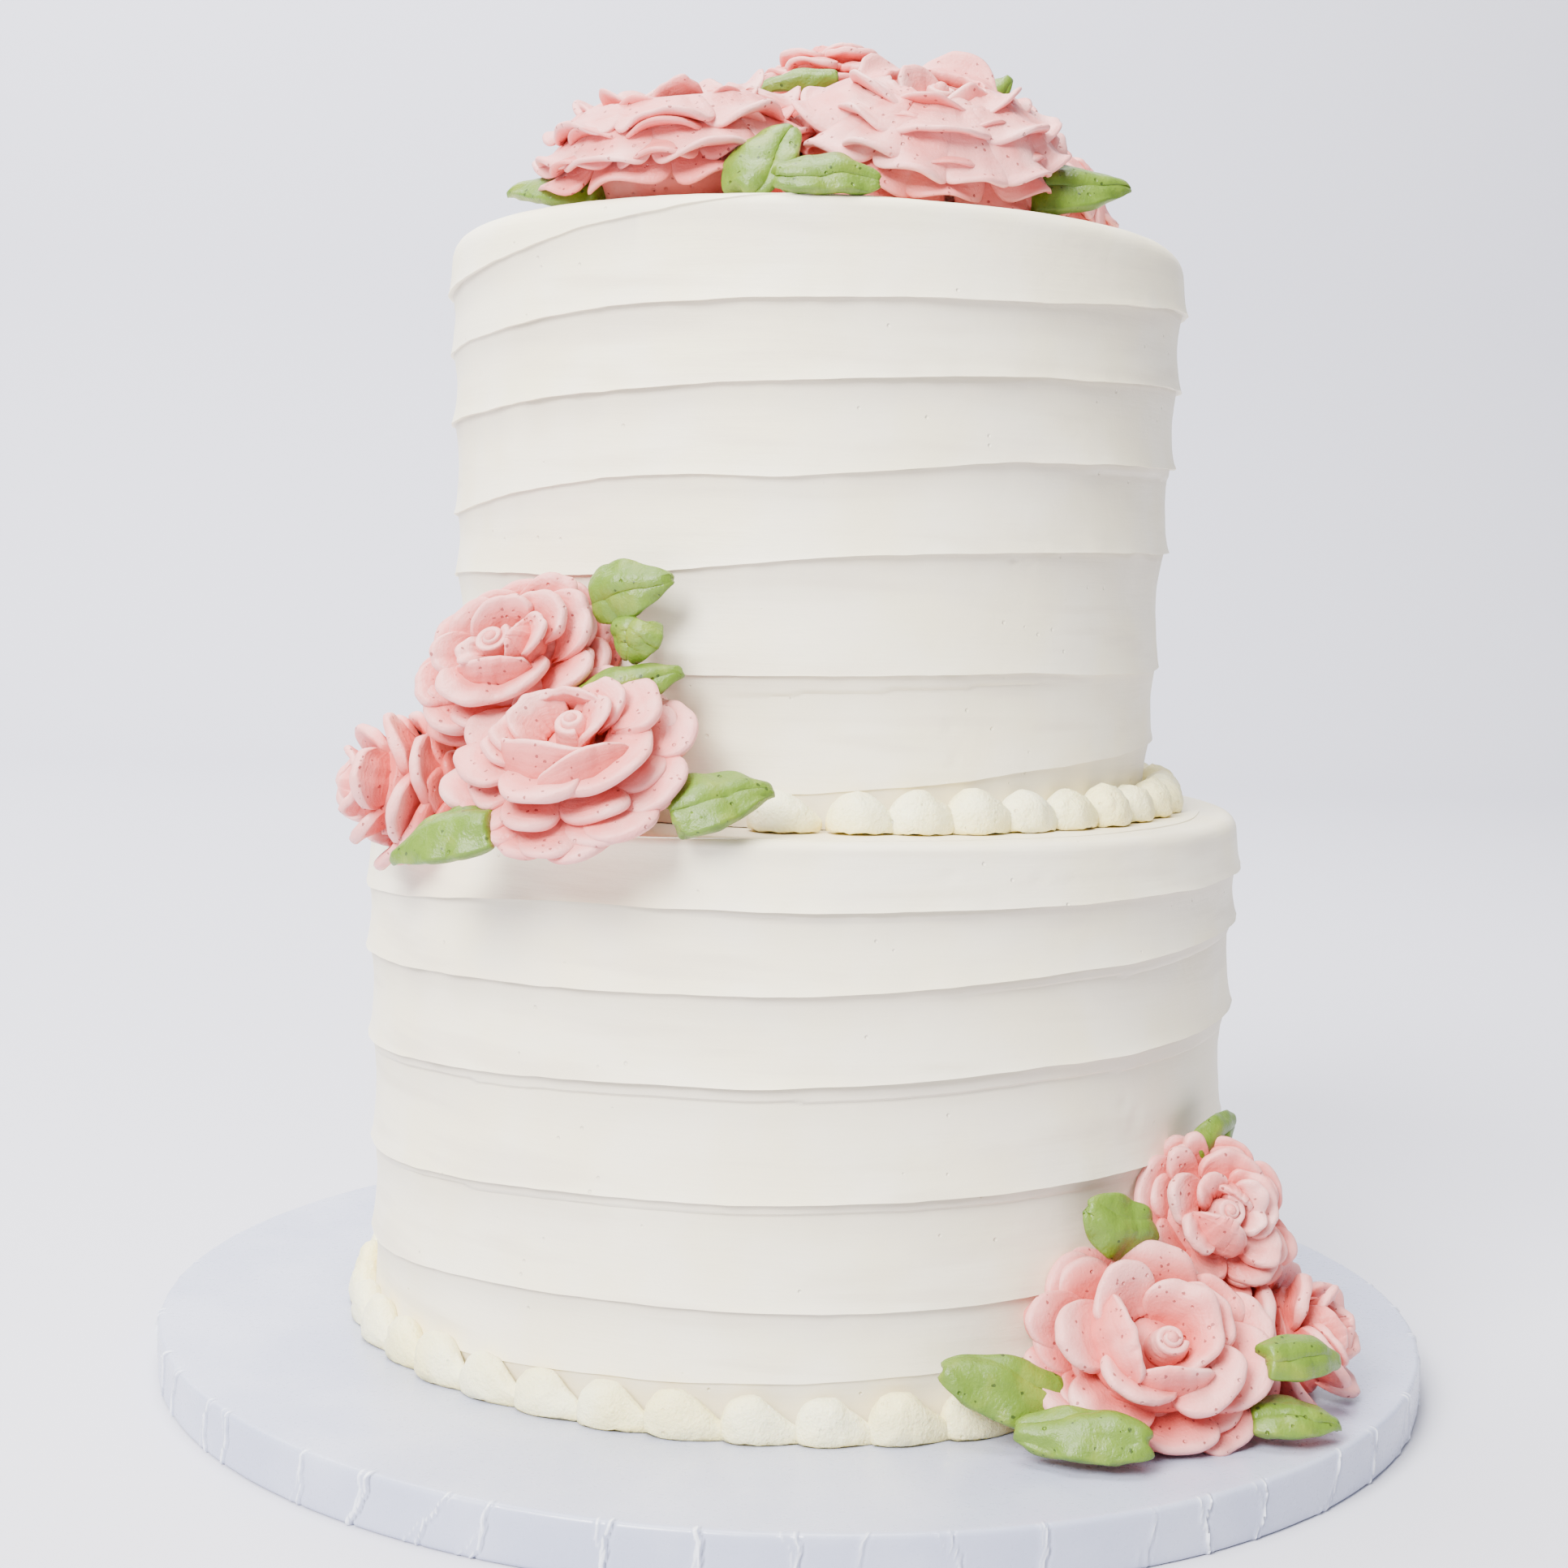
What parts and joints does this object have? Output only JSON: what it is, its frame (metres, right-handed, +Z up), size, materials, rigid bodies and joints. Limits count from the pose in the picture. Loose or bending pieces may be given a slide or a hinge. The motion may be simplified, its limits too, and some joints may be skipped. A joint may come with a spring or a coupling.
{
  "type": "tiered wedding cake",
  "caption": "Two-tier round cake with spatula-ridged white icing, piped shell borders, and clusters of piped pink roses and green leaves, on a thick round foil-covered drum.",
  "frame": {"origin": "middle of the drum's underside", "axes": "+Z up through both tiers, -Y towards the viewer, +X to the viewer's right"},
  "size_m": [0.305, 0.305, 0.315],
  "materials": {
    "foil": "bluish-white satin foil wrap",
    "icing": "soft satin buttercream",
    "shell_icing": "soft satin buttercream",
    "rose_icing": "soft satin pink buttercream",
    "leaf_icing": "soft satin green buttercream"
  },
  "bodies": {
    "root": {"cake_drum": "foil", "bottom_tier": "icing", "top_tier": "icing", "bottom_border": "shell_icing", "top_border": "shell_icing", "rose_top_right": "rose_icing", "rose_top_left": "rose_icing", "rose_top_middle": "rose_icing", "rose_top_side": "rose_icing", "rose_top_rear": "rose_icing", "rose_top_far": "rose_icing", "rose_middle_upper": "rose_icing", "rose_middle_front": "rose_icing", "rose_middle_side": "rose_icing", "rose_lower_upper": "rose_icing", "rose_lower_front": "rose_icing", "rose_lower_side": "rose_icing", "leaf_top_left": "leaf_icing", "leaf_top_right": "leaf_icing", "leaf_top_standing": "leaf_icing", "leaf_top_front": "leaf_icing", "leaf_top_middle": "leaf_icing", "leaf_top_peak": "leaf_icing", "leaf_top_back": "leaf_icing", "leaf_middle_high": "leaf_icing", "leaf_middle_fold": "leaf_icing", "leaf_middle_right": "leaf_icing", "leaf_middle_ledge": "leaf_icing", "leaf_middle_rim": "leaf_icing", "leaf_lower_high": "leaf_icing", "leaf_lower_wall": "leaf_icing", "leaf_lower_left": "leaf_icing", "leaf_lower_front": "leaf_icing", "leaf_lower_right": "leaf_icing", "leaf_lower_tip": "leaf_icing"}
  },
  "joints": []
}
